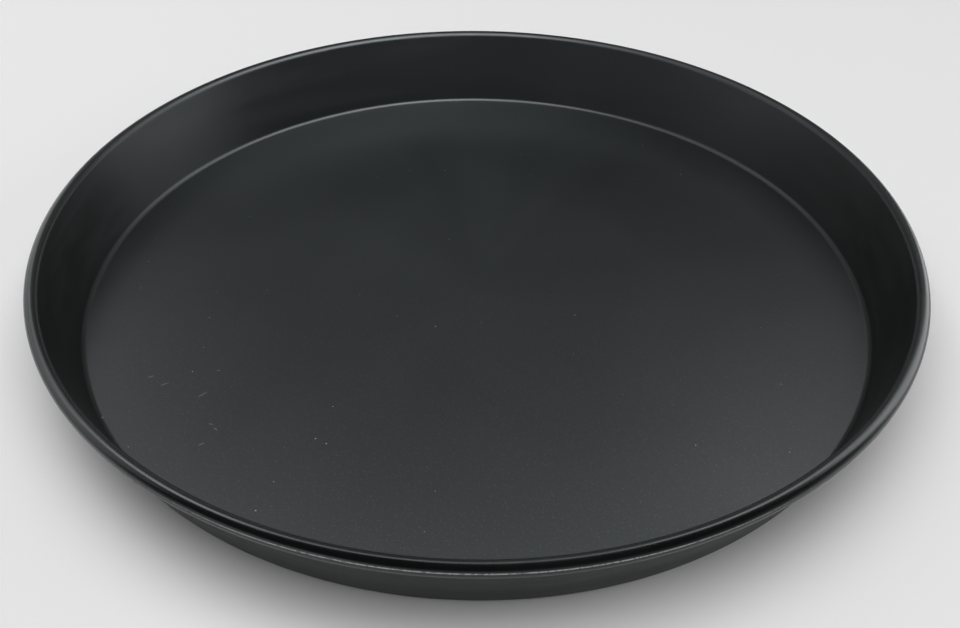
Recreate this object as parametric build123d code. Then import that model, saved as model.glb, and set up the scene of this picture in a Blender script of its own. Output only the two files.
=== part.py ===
from build123d import *
from math import acos, asin, atan2, cos, degrees, radians, sin
import os

# A round pizza pan with a low sloping wall and a wired rim, in millimetres.
# The origin is at the centre of the underside, and +Z points up.

# Sizes of the pan
floor_diameter = 280.0      # flat part of the floor, up to where the corner starts to bend
rim_overhang = 15.0         # from the edge of the flat floor out to the outer edge of the rim
overall_height = 30.0       # underside to the top of the rim
sheet_thickness = 0.8
inner_corner_radius = 2.0   # between the floor and the wall, on the inside

# Sizes of the rim
wire_diameter = 3.0
wire_clearance = 0.13       # between the wire and the sheet that is rolled round it
roll_edge_gap = 0.35        # between the cut edge of the roll and the outside of the wall
wire_end_gap = 1.0          # between the two ends of the wire hoop

# Places that follow from these sizes
floor_radius = floor_diameter / 2
outer_radius = floor_radius + rim_overhang
outer_corner_radius = inner_corner_radius + sheet_thickness
roll_inner_radius = wire_diameter / 2 + wire_clearance
roll_outer_radius = roll_inner_radius + sheet_thickness
hoop_radius = outer_radius - roll_outer_radius
corner_centre = Vector(floor_radius, outer_corner_radius)
roll_centre = Vector(hoop_radius, overall_height - roll_outer_radius)


def wall_lean():
    """Degrees from the vertical at which the wall's inner face runs on into both bends."""
    rise = roll_centre - corner_centre
    crossing = asin((inner_corner_radius + roll_outer_radius) / rise.length)
    return degrees(atan2(rise.X, rise.Y) - crossing)


def roll_opening():
    """Degrees of the roll that stay open, so that its cut edge is clear of the wall."""
    reach = roll_outer_radius - sheet_thickness - roll_edge_gap
    return degrees(acos(reach / roll_outer_radius))


def on_bend(centre, radius, angle):
    """A point on a bend, with its angle in degrees measured up from straight outwards."""
    turn = radians(angle)
    return centre + Vector(radius * cos(turn), radius * sin(turn))


def sheet_section():
    """Half section of the sheet, from the middle of the floor to the cut edge of the roll."""
    lean = wall_lean()
    corner_turn = 90 - lean
    roll_start = 180 - lean
    roll_turn = 360 - roll_opening()
    roll_end = roll_start - roll_turn

    with BuildSketch(Plane.XZ) as section:
        with BuildLine():
            # Along the underside, up the outside of the wall and round the wire
            Line((0, 0), (floor_radius, 0))
            CenterArc(corner_centre, outer_corner_radius, -90, corner_turn)
            Line(
                on_bend(corner_centre, outer_corner_radius, -lean),
                on_bend(roll_centre, roll_inner_radius, roll_start),
            )
            CenterArc(roll_centre, roll_inner_radius, roll_start, -roll_turn)
            # The cut edge
            Line(
                on_bend(roll_centre, roll_inner_radius, roll_end),
                on_bend(roll_centre, roll_outer_radius, roll_end),
            )
            # Back over the roll, down the inside of the wall and along the floor
            CenterArc(roll_centre, roll_outer_radius, roll_start, -roll_turn)
            Line(
                on_bend(roll_centre, roll_outer_radius, roll_start),
                on_bend(corner_centre, inner_corner_radius, -lean),
            )
            CenterArc(corner_centre, inner_corner_radius, -90, corner_turn)
            Line((floor_radius, sheet_thickness), (0, sheet_thickness))
            Line((0, sheet_thickness), (0, 0))
        make_face()
    return section.sketch


def make_pan_body():
    """The pressed sheet: floor, corner, wall and rolled rim in one piece."""
    return revolve(sheet_section(), Axis.Z)


def make_rim_wire():
    """The wire hoop inside the roll, with its two ends just apart."""
    with BuildSketch(Plane.XZ) as section:
        with Locations(roll_centre):
            Circle(wire_diameter / 2)
    gap_angle = degrees(wire_end_gap / hoop_radius)
    return revolve(section.sketch, Axis.Z, revolution_arc=360 - gap_angle)


os.makedirs("parts", exist_ok=True)
pieces = {"pan_body": make_pan_body(), "rim_wire": make_rim_wire()}
for name, piece in pieces.items():
    piece.label = name
    export_step(piece, f"parts/{name}.step")

print("outer diameter", round(2 * outer_radius, 2), "mm")
print("roll diameter", round(2 * roll_outer_radius, 2), "mm")
print("wall leans", round(wall_lean(), 2), "degrees")
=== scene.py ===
from math import asin, atan2, cos, degrees, hypot, pi, radians, sin, tan

import bmesh
import bpy
from mathutils import Matrix, Vector


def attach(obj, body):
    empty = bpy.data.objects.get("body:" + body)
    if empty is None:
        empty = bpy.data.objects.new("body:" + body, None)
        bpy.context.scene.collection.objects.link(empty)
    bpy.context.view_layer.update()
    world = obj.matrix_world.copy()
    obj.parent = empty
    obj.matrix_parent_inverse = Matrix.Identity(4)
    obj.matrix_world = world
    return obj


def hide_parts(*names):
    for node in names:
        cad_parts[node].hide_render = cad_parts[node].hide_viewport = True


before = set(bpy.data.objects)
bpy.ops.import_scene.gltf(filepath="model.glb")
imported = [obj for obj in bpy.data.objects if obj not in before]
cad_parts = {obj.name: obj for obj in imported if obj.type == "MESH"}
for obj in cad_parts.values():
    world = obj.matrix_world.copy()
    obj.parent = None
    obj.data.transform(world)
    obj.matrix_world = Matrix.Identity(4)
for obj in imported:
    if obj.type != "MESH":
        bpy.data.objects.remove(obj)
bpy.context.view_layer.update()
scene = bpy.context.scene
print("frame loaded:", sorted(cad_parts))


# Camera, aimed as in the photograph
cameraSetup = {
    "lens": 43.94,          # mm, on a sensor 36 mm wide
    "sensorWidth": 36.0,
    "distance": 0.4350,     # from the middle of the pan's floor
    "elevation": 37.733,    # of the camera above the floor, degrees
    "pitch": 39.071,        # of the lens below the horizon
    "yaw": 0.171,
    "roll": 0.671,
    "aimHeight": 0.0008,    # top of the sheet
    "clipStart": 0.01,
}


def makeCamera(setup):
    data = bpy.data.cameras.new("photoCamera")
    data.lens = setup["lens"]
    data.sensor_width = setup["sensorWidth"]
    data.sensor_fit = "HORIZONTAL"
    data.clip_start = setup["clipStart"]
    camera = bpy.data.objects.new("photoCamera", data)
    scene.collection.objects.link(camera)
    lift = radians(setup["elevation"])
    place = Vector((0, -cos(lift), sin(lift))) * setup["distance"]
    place.z += setup["aimHeight"]
    turn = (
        Matrix.Rotation(-radians(setup["yaw"]), 4, "Z")
        @ Matrix.Rotation(radians(90 - setup["pitch"]), 4, "X")
        @ Matrix.Rotation(radians(setup["roll"]), 4, "Z")
    )
    camera.matrix_world = Matrix.Translation(place) @ turn
    scene.camera = camera


makeCamera(cameraSetup)
print("camera set")


# The pressed sheet, spun from its section
sheet = {
    "thickness": 0.0008,
    "cornerRadius": 0.002,       # inside, between floor and wall
    "rollRadius": 0.00243,       # outside of the roll
    "rollOpening": 58.26,        # degrees of the roll left open beside the wall
    "rimOverhang": 0.015,        # from the flat floor's edge to the rim's outer edge
    "outerRadius": 0.155,
    "height": 0.030,
    "turnSteps": 360,
    "cornerSteps": 12,
    "rollSteps": 44,
    "edgeRounding": 0.00012,     # on the cut edge of the roll
    "roundingSteps": 3,
    "sharpAngle": 50,            # degrees between faces, from which an edge is shaded sharp
    "weldReach": 1e-6,
    "placeReach": 1e-5,          # how near to a place of the section counts as on it
}


def spinPoint(bm, point, centre, angle, steps):
    # Draws an arc in the XZ plane, from a point round a centre; a positive angle climbs outwards
    made = bmesh.ops.spin(
        bm, geom=[point], cent=centre, axis=(0, -1, 0), angle=radians(angle),
        steps=steps, use_duplicate=False,
    )
    return next(item for item in made["geom_last"] if isinstance(item, bmesh.types.BMVert))


def addPoint(bm, last, place):
    point = bm.verts.new(place)
    if last:
        bm.edges.new((last, point))
    return point


def alongBend(centre, radius, angle):
    turn = radians(angle)
    return centre + Vector((cos(turn), 0, sin(turn))) * radius


def drawSheetSection(bm, size):
    thick = size["thickness"]
    corner = Vector((size["outerRadius"] - size["rimOverhang"], 0, size["cornerRadius"] + thick))
    roll = Vector((size["outerRadius"] - size["rollRadius"], 0, size["height"] - size["rollRadius"]))
    rise = roll - corner
    crossing = asin((size["cornerRadius"] + size["rollRadius"]) / rise.length)
    lean = degrees(atan2(rise.x, rise.z) - crossing)
    cornerTurn = 90 - lean
    rollTurn = 360 - size["rollOpening"]
    rollInside = size["rollRadius"] - thick
    # Along the underside, up the outside of the wall and round the inside of the roll
    last = addPoint(bm, None, (0, 0, 0))
    last = addPoint(bm, last, (corner.x, 0, 0))
    last = spinPoint(bm, last, corner, cornerTurn, size["cornerSteps"])
    last = addPoint(bm, last, alongBend(roll, rollInside, 180 - lean))
    last = spinPoint(bm, last, roll, -rollTurn, size["rollSteps"])
    # Across the cut edge and back over the outside of the roll
    cutEdge = [last.co.copy(), alongBend(roll, size["rollRadius"], 180 - lean - rollTurn)]
    last = addPoint(bm, last, cutEdge[1])
    last = spinPoint(bm, last, roll, rollTurn, size["rollSteps"])
    # Down the inside of the wall and along the floor
    last = addPoint(bm, last, alongBend(corner, size["cornerRadius"], -lean))
    last = spinPoint(bm, last, corner, -cornerTurn, size["cornerSteps"])
    addPoint(bm, last, (0, 0, thick))
    return cutEdge


def isRound(edge, place, reach):
    # Whether an edge runs round the pan through a place of the section
    unturned = [Vector((hypot(vert.co.x, vert.co.y), 0, vert.co.z)) for vert in edge.verts]
    return all((point - place).length < reach for point in unturned)


def makeSheet(size):
    bm = bmesh.new()
    cutEdge = drawSheetSection(bm, size)
    bmesh.ops.spin(
        bm, geom=bm.verts[:] + bm.edges[:], cent=(0, 0, 0), axis=(0, 0, 1), angle=2 * pi,
        steps=size["turnSteps"], use_merge=True, use_duplicate=False,
    )
    bmesh.ops.remove_doubles(bm, verts=bm.verts[:], dist=size["weldReach"])
    reach = size["placeReach"]
    rounded = [edge for edge in bm.edges if any(isRound(edge, place, reach) for place in cutEdge)]
    bmesh.ops.bevel(
        bm, geom=rounded, offset=size["edgeRounding"], affect="EDGES",
        segments=size["roundingSteps"], profile=0.5, material=-1,
    )
    bmesh.ops.recalc_face_normals(bm, faces=bm.faces[:])
    mesh = bpy.data.meshes.new("panSheet")
    bm.to_mesh(mesh)
    bm.free()
    mesh.shade_smooth()
    mesh.set_sharp_from_angle(angle=radians(size["sharpAngle"]))
    pan = bpy.data.objects.new("panSheet", mesh)
    scene.collection.objects.link(pan)
    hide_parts("pan_body")
    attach(pan, "root")
    return pan


panSheet = makeSheet(sheet)
print("sheet made:", len(panSheet.data.polygons), "faces")


# Baked coating of the sheet. A noise is scale, detail and roughness, and a range is where it sets in.
coating = {
    "colour": (0.0034, 0.0044, 0.0042, 1),
    "glint": (0.90, 0.96, 0.995, 1),     # tint of its reflections
    "ior": 1.5,
    "roughness": 0.36,
    "roughnessSpread": 0.03,             # between the satiny and the smoother patches
    "patchNoise": (22.0, 4.0, 0.55),
    "patchRange": (0.45, 0.95),
    "patchDrawn": 0.35,                  # how far the drawn lines show in the patches
    "rollSmoother": 0.13,                # how much smoother the roll is
    "rollRange": (0.1505, 0.1519),       # radii
    "wallRange": (0.003, 0.006),         # heights from which the marks of the wall show
    "grainNoise": (1100.0, 3.0, 0.6),    # fine pebbling, about 1 mm across
    "grainHeight": 0.000004,
    "smearScale": (3.0, 3.0, 110.0),     # rougher smears along the wall
    "smearNoise": (1.0, 4.0, 0.6),
    "smearRange": (0.40, 0.66),
    "smearRougher": 0.07,
    "waveNoise": (16.0, 1.0, 0.5),       # slow unevenness of the pressed sheet
    "waveHeight": 0.00012,
    "drawScale": (5.0, 5.0, 700.0),      # marks that pressing leaves along the wall
    "drawNoise": (1.0, 3.0, 0.5),
    "drawHeight": 0.000006,
    "fleckNoise": (1500.0, 2.0, 0.7),
    "fleckRange": (0.56, 0.74),
    "fleckPlaces": (0.10, -0.12),        # y from the back to the front, denser in front
    "fleckLeast": 0.25,                  # at the back, against 1 at the front
    "fleckHeights": (0.024, 0.020),      # none above these
    "fleckColour": (0.030, 0.034, 0.034, 1),
    "dustScale": 62.0,                   # specks per metre each way, before thinning out
    "dustSize": 0.013,                   # of the space between specks
    "dustShare": 0.36,
    "dustColour": (0.22, 0.23, 0.23, 1),
    "levelFacing": 0.9,                  # dust and scuffs lie on faces that look up at least this far
    "scuffWidth": 0.00032,
    "scuffFade": (0.3, 1.0),             # from the middle of a scuff to its edge
    "scuffColour": (0.075, 0.08, 0.08, 1),
    "scuffs": (                          # x, y and length in metres, direction in degrees
        (-0.1096, -0.0513, 0.0030, 30),
        (-0.1044, -0.0549, 0.0040, 30),
        (-0.0908, -0.0599, 0.0054, 44),
        (-0.0854, -0.0737, 0.0022, -14),
        (-0.0836, -0.0759, 0.0026, -41),
        (-0.0868, -0.0827, 0.0034, 31),
        (-0.0876, -0.0479, 0.0018, 1),
    ),
    "speckSize": 0.00026,
    "specks": (                          # x and y of the larger specks of dust, metres
        (-0.1210, -0.0712),
        (-0.0511, -0.0798),
        (-0.0474, -0.0820),
        (-0.0655, -0.1101),
        (-0.0148, -0.0234),
        (0.0718, 0.1024),
        (0.0855, 0.0790),
    ),
    # Painted highlight: a pale metallic strip round the outside of the roll, mostly at the front,
    # standing in for the roll's highlight line
    "highlightStripColour": (0.46, 0.46, 0.45, 1),
    "highlightStripHeight": 0.0283,                # middle of the painted highlight strip round the roll
    "highlightStripReach": 0.00032,
    "highlightStripRadius": 0.1543,                # the line keeps outside of this
    "highlightStripNoise": (1300.0, 3.0, 0.6),
    "highlightStripRange": (0.34, 0.58),
    "highlightStripLeast": 0.3,                    # in the faintest specks of the painted highlight strip
    "highlightStripPlaces": (-0.120, -0.153),      # y from where it grows to where it is full
    "highlightStripBehind": 0.10,                  # how strongly the highlight is painted further back
    "highlightStripAmount": 0.85,                  # and in front
}


def newMaterial(name):
    material = bpy.data.materials.new(name)
    material.use_nodes = True
    nodes = material.node_tree.nodes
    nodes.clear()
    out = nodes.new("ShaderNodeOutputMaterial")
    return material, nodes, material.node_tree.links, out


def maths(nodes, links, operation, first, second=None):
    node = nodes.new("ShaderNodeMath")
    node.operation = operation
    for socket, value in zip(node.inputs, (first, second)):
        if value is None:
            continue
        if isinstance(value, (int, float)):
            socket.default_value = value
        else:
            links.new(value, socket)
    return node.outputs[0]


def vectorMaths(nodes, links, operation, first, second=None):
    node = nodes.new("ShaderNodeVectorMath")
    node.operation = operation
    links.new(first, node.inputs[0])
    if isinstance(second, tuple):
        node.inputs[1].default_value = second
    elif second is not None:
        links.new(second, node.inputs[1])
    return node.outputs["Value" if operation in ("LENGTH", "DISTANCE") else "Vector"]


def ranged(nodes, links, value, low, high, outLow=0.0, outHigh=1.0):
    node = nodes.new("ShaderNodeMapRange")
    node.interpolation_type = "SMOOTHSTEP"
    links.new(value, node.inputs["Value"])
    for name, amount in (("From Min", low), ("From Max", high), ("To Min", outLow), ("To Max", outHigh)):
        node.inputs[name].default_value = amount
    return node.outputs["Result"]


def noise(nodes, links, place, scale, detail, rough):
    node = nodes.new("ShaderNodeTexNoise")
    node.inputs["Scale"].default_value = scale
    node.inputs["Detail"].default_value = detail
    node.inputs["Roughness"].default_value = rough
    links.new(place, node.inputs["Vector"])
    return node.outputs["Fac"]


def mixColour(nodes, links, share, first, second):
    node = nodes.new("ShaderNodeMix")
    node.data_type = "RGBA"
    links.new(share, node.inputs["Factor"])
    for name, colour in (("A", first), ("B", second)):
        socket = next(item for item in node.inputs if item.name == name and item.type == "RGBA")
        if isinstance(colour, tuple):
            socket.default_value = colour
        else:
            links.new(colour, socket)
    return next(item for item in node.outputs if item.type == "RGBA")


def addBump(nodes, links, height, distance, normal=None):
    node = nodes.new("ShaderNodeBump")
    node.inputs["Strength"].default_value = 1.0
    node.inputs["Distance"].default_value = distance
    links.new(height, node.inputs["Height"])
    if normal:
        links.new(normal, node.inputs["Normal"])
    return node.outputs["Normal"]


def makeCoating(look):
    material, nodes, links, out = newMaterial("bakedCoating")
    place = nodes.new("ShaderNodeTexCoord").outputs["Object"]
    split = nodes.new("ShaderNodeSeparateXYZ")
    links.new(place, split.inputs["Vector"])
    height = split.outputs["Z"]
    flat = vectorMaths(nodes, links, "MULTIPLY", place, (1, 1, 0))
    radius = vectorMaths(nodes, links, "LENGTH", flat)
    spoke = vectorMaths(nodes, links, "NORMALIZE", flat)

    # Marks along the wall: a place on the unit circle, with the height added
    lift = nodes.new("ShaderNodeCombineXYZ")
    links.new(height, lift.inputs["Z"])
    along = vectorMaths(nodes, links, "ADD", spoke, lift.outputs["Vector"])
    drawn = vectorMaths(nodes, links, "MULTIPLY", along, look["drawScale"])
    drawn = noise(nodes, links, drawn, *look["drawNoise"])
    onWall = ranged(nodes, links, height, *look["wallRange"])

    # Shape of the surface
    wave = noise(nodes, links, place, *look["waveNoise"])
    normal = addBump(nodes, links, wave, look["waveHeight"])
    wallLines = maths(nodes, links, "MULTIPLY", drawn, onWall)
    normal = addBump(nodes, links, wallLines, look["drawHeight"], normal)
    grain = noise(nodes, links, place, *look["grainNoise"])
    normal = addBump(nodes, links, grain, look["grainHeight"], normal)

    # Satiny and smoother patches, the smoother roll and the smears of the wall
    spread = look["roughnessSpread"]
    patches = noise(nodes, links, place, *look["patchNoise"])
    lines = maths(nodes, links, "MULTIPLY", drawn, look["patchDrawn"])
    patches = maths(nodes, links, "ADD", patches, lines)
    smoothest = look["roughness"] - spread
    roughest = look["roughness"] + spread
    rough = ranged(nodes, links, patches, *look["patchRange"], smoothest, roughest)
    onRoll = ranged(nodes, links, radius, *look["rollRange"], 0.0, look["rollSmoother"])
    rough = maths(nodes, links, "SUBTRACT", rough, onRoll)
    smears = vectorMaths(nodes, links, "MULTIPLY", along, look["smearScale"])
    smears = noise(nodes, links, smears, *look["smearNoise"])
    smears = ranged(nodes, links, smears, *look["smearRange"], 0.0, look["smearRougher"])
    smears = maths(nodes, links, "MULTIPLY", smears, onWall)
    rough = maths(nodes, links, "ADD", rough, smears)

    # Pale flecks in the coating
    flecks = noise(nodes, links, place, *look["fleckNoise"])
    flecks = ranged(nodes, links, flecks, *look["fleckRange"])
    near = ranged(nodes, links, split.outputs["Y"], *look["fleckPlaces"], look["fleckLeast"], 1.0)
    below = ranged(nodes, links, height, *look["fleckHeights"])
    near = maths(nodes, links, "MULTIPLY", near, below)
    flecks = maths(nodes, links, "MULTIPLY", flecks, near)
    colour = mixColour(nodes, links, flecks, look["colour"], look["fleckColour"])

    # Scattered dust and the larger specks
    cells = nodes.new("ShaderNodeTexVoronoi")
    cells.voronoi_dimensions = "2D"
    cells.inputs["Scale"].default_value = look["dustScale"]
    links.new(flat, cells.inputs["Vector"])
    pick = nodes.new("ShaderNodeSeparateColor")
    links.new(cells.outputs["Color"], pick.inputs["Color"])
    size = maths(nodes, links, "MULTIPLY", pick.outputs["Green"], look["dustSize"])
    chosen = maths(nodes, links, "LESS_THAN", pick.outputs["Red"], look["dustShare"])
    dust = maths(nodes, links, "LESS_THAN", cells.outputs["Distance"], size)
    dust = maths(nodes, links, "MULTIPLY", dust, chosen)
    for x, y in look["specks"]:
        away = vectorMaths(nodes, links, "DISTANCE", flat, (x, y, 0))
        speck = maths(nodes, links, "LESS_THAN", away, look["speckSize"])
        dust = maths(nodes, links, "MAXIMUM", dust, speck)
    facing = nodes.new("ShaderNodeSeparateXYZ")
    links.new(nodes.new("ShaderNodeNewGeometry").outputs["Normal"], facing.inputs["Vector"])
    upwards = maths(nodes, links, "GREATER_THAN", facing.outputs["Z"], look["levelFacing"])
    dust = maths(nodes, links, "MULTIPLY", dust, upwards)

    # Scuffs, each the stretched circle round its middle
    scuffed = None
    for x, y, length, direction in look["scuffs"]:
        stroke = nodes.new("ShaderNodeMapping")
        stroke.vector_type = "TEXTURE"
        stroke.inputs["Location"].default_value = (x, y, 0)
        stroke.inputs["Rotation"].default_value = (0, 0, radians(direction))
        stroke.inputs["Scale"].default_value = (length / 2, look["scuffWidth"], 1)
        links.new(flat, stroke.inputs["Vector"])
        reach = vectorMaths(nodes, links, "LENGTH", stroke.outputs["Vector"])
        mark = ranged(nodes, links, reach, *look["scuffFade"], 1.0, 0.0)
        scuffed = maths(nodes, links, "MAXIMUM", scuffed, mark) if scuffed else mark
    scuffed = maths(nodes, links, "MULTIPLY", scuffed, upwards)
    colour = mixColour(nodes, links, scuffed, colour, look["scuffColour"])
    colour = mixColour(nodes, links, dust, colour, look["dustColour"])

    # Painted highlight: a pale metallic strip round the outside of the roll, strongest at the front,
    # standing in for the highlight line along the roll
    away = maths(nodes, links, "SUBTRACT", height, look["highlightStripHeight"])
    away = maths(nodes, links, "ABSOLUTE", away)
    paintedHighlight = ranged(nodes, links, away, 0.0, look["highlightStripReach"], 1.0, 0.0)
    outside = maths(nodes, links, "GREATER_THAN", radius, look["highlightStripRadius"])
    paintedHighlight = maths(nodes, links, "MULTIPLY", paintedHighlight, outside)
    speckle = noise(nodes, links, place, *look["highlightStripNoise"])
    speckle = ranged(nodes, links, speckle, *look["highlightStripRange"], look["highlightStripLeast"], 1.0)
    paintedHighlight = maths(nodes, links, "MULTIPLY", paintedHighlight, speckle)
    amounts = (look["highlightStripBehind"], look["highlightStripAmount"])
    inFront = ranged(nodes, links, split.outputs["Y"], *look["highlightStripPlaces"], *amounts)
    paintedHighlight = maths(nodes, links, "MULTIPLY", paintedHighlight, inFront)
    colour = mixColour(nodes, links, paintedHighlight, colour, look["highlightStripColour"])

    shader = nodes.new("ShaderNodeBsdfPrincipled")
    shader.inputs["IOR"].default_value = look["ior"]
    shader.inputs["Specular Tint"].default_value = look["glint"]
    links.new(colour, shader.inputs["Base Color"])
    # the painted highlight strip is made metallic as well as pale
    links.new(paintedHighlight, shader.inputs["Metallic"])
    links.new(rough, shader.inputs["Roughness"])
    links.new(normal, shader.inputs["Normal"])
    links.new(shader.outputs["BSDF"], out.inputs["Surface"])
    return material


# Drawn steel of the wire in the rim
steel = {
    "colour": (0.42, 0.42, 0.42, 1),
    "shade": (0.30, 0.30, 0.295, 1),
    "roughness": (0.27, 0.40),
    "lineScale": (40.0, 40.0, 2600.0),
    "lineNoise": (1.0, 3.0, 0.5),
    "lineRange": (0.3, 0.7),
    "lineHeight": 0.000008,
}


def makeSteel(look):
    material, nodes, links, out = newMaterial("drawnSteel")
    place = nodes.new("ShaderNodeTexCoord").outputs["Object"]
    lines = vectorMaths(nodes, links, "MULTIPLY", place, look["lineScale"])
    drawn = noise(nodes, links, lines, *look["lineNoise"])
    shader = nodes.new("ShaderNodeBsdfPrincipled")
    shader.inputs["Metallic"].default_value = 1.0
    shade = mixColour(nodes, links, drawn, look["shade"], look["colour"])
    links.new(shade, shader.inputs["Base Color"])
    rough = ranged(nodes, links, drawn, *look["lineRange"], *look["roughness"])
    links.new(rough, shader.inputs["Roughness"])
    links.new(addBump(nodes, links, drawn, look["lineHeight"]), shader.inputs["Normal"])
    links.new(shader.outputs["BSDF"], out.inputs["Surface"])
    return material


def giveMaterial(piece, material):
    piece.data.materials.clear()
    piece.data.materials.append(material)


giveMaterial(panSheet, makeCoating(coating))
giveMaterial(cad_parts["rim_wire"], makeSteel(steel))
print("finishes made")


# Floor, world and lamps
studio = {
    "floorColour": (0.80, 0.80, 0.80, 1),
    "floorSize": 4.0,
    "floorGap": 0.00005,     # keeps the floor and the underside from sharing a plane
    "wallGlow": 0.27,        # pale walls of the room, low down
    "wallTop": 0.60,         # sine of the elevation at which they end
    # Place, aim, width, depth, spread, glow and kind. A True lamp is seen only in reflections,
    # so that it shapes the sheen of the pan, and a False one only lights the table diffusely.
    "lamps": {
        "overheadLamp": ((-0.005, 0.070, 0.170), (-0.050, 0.120, 0), 0.13, 0.12, 85.0, 11.0, True),
        "highPanel": ((0, 0.270, 0.590), (0, 0.270, 0), 1.80, 0.14, 144.0, 1.6, True),
        "ceilingPanel": ((0, 0.185, 0.400), (0, 0.185, 0), 1.80, 0.34, 140.0, 1.0, True),
        "leftTopPanel": ((-0.200, 0.026, 0.291), (-0.200, 0.026, 0), 0.14, 0.14, 180.0, 2.1, True),
        "leftPanel": ((-0.320, 0.059, 0.160), (0, 0, 0.02), 0.43, 0.24, 180.0, 0.9, True),
        "rightPanel": ((0.477, 0.152, 0.230), (0, 0, 0.02), 0.36, 0.40, 180.0, 2.3, True),
        "rightTopPanel": ((0.230, 0.200, 0.400), (0.120, 0, 0), 0.20, 0.20, 180.0, 1.5, True),
        "rightLowPanel": ((0.470, 0.180, 0.120), (0, 0, 0.02), 0.36, 0.18, 180.0, 0.7, True),
        "edgeStrip": ((0.150, 0.045, 0.300), (0.150, -0.050, 0), 0.90, 0.045, 180.0, 2.0, True),
        "backPanel": ((0, 0.480, 0.390), (0, 0, 0.02), 1.00, 0.11, 180.0, 0.45, True),
        "backLeftPanel": ((-0.430, 0.480, 0.390), (-0.150, 0, 0.02), 0.30, 0.30, 180.0, 0.36, True),
        "backLeftStrip": ((-0.450, 0.750, 0.090), (0, 0, 0.02), 0.80, 0.16, 180.0, 0.78, True),
        "backRightStrip": ((0.450, 0.750, 0.090), (0, 0, 0.02), 0.80, 0.16, 180.0, 0.78, True),
        "frontStrip": ((0, -0.900, 0.100), (0, 0, 0.02), 1.20, 0.20, 180.0, 0.6, True),
        "frontLeftStrip": ((-0.600, -0.700, 0.120), (0, 0, 0.02), 0.60, 0.20, 180.0, 0.8, True),
        "tableLight": ((0, -0.300, 2.400), (0, 0, 0), 3.20, 3.20, 180.0, 2.25, False),
        "tableLeftLight": ((-0.750, 0.420, 0.900), (-0.750, 0.420, 0), 1.00, 1.00, 180.0, 0.95, False),
        "tableRightLight": ((0.890, -0.160, 0.550), (0, 0, 0), 0.40, 0.40, 180.0, 2.4, False),
    },
}


def makeFloor(setup):
    bm = bmesh.new()
    bmesh.ops.create_grid(bm, x_segments=1, y_segments=1, size=setup["floorSize"] / 2)
    bmesh.ops.translate(bm, vec=(0, 0, -setup["floorGap"]), verts=bm.verts[:])
    mesh = bpy.data.meshes.new("studioFloor")
    bm.to_mesh(mesh)
    bm.free()
    floor = bpy.data.objects.new("studioFloor", mesh)
    scene.collection.objects.link(floor)
    material, nodes, links, out = newMaterial("paleFloor")
    shader = nodes.new("ShaderNodeBsdfDiffuse")
    shader.inputs["Color"].default_value = setup["floorColour"]
    links.new(shader.outputs["BSDF"], out.inputs["Surface"])
    mesh.materials.append(material)


def makeLamp(name, place, aim, width, depth, spread, glow, reflected):
    # The glow is what the lamp's face shows straight on, where 1 is white
    data = bpy.data.lights.new(name, "AREA")
    data.shape = "RECTANGLE"
    data.size = width
    data.size_y = depth
    data.spread = radians(spread)
    half = radians(spread) / 2
    gain = tan(half) / (tan(half) - half) if spread < 180 else 1.0
    data.energy = glow * pi * width * depth / gain
    lamp = bpy.data.objects.new(name, data)
    scene.collection.objects.link(lamp)
    lamp.location = place
    lamp.rotation_euler = (Vector(aim) - Vector(place)).to_track_quat("-Z", "Y").to_euler()
    lamp.visible_camera = False
    lamp.visible_glossy = reflected
    lamp.visible_diffuse = not reflected


def makeWorld(setup):
    world = bpy.data.worlds.new("studioWorld")
    scene.world = world
    world.use_nodes = True
    nodes = world.node_tree.nodes
    links = world.node_tree.links
    split = nodes.new("ShaderNodeSeparateXYZ")
    links.new(nodes.new("ShaderNodeTexCoord").outputs["Generated"], split.inputs["Vector"])
    glow = ranged(nodes, links, split.outputs["Z"], 0.0, setup["wallTop"], setup["wallGlow"], 0.0)
    nodes["Background"].inputs["Color"].default_value = (1, 1, 1, 1)
    links.new(glow, nodes["Background"].inputs["Strength"])


makeFloor(studio)
for lampName, lampSetup in studio["lamps"].items():
    makeLamp(lampName, *lampSetup)
makeWorld(studio)
scene.view_settings.view_transform = "Standard"
print("studio made")
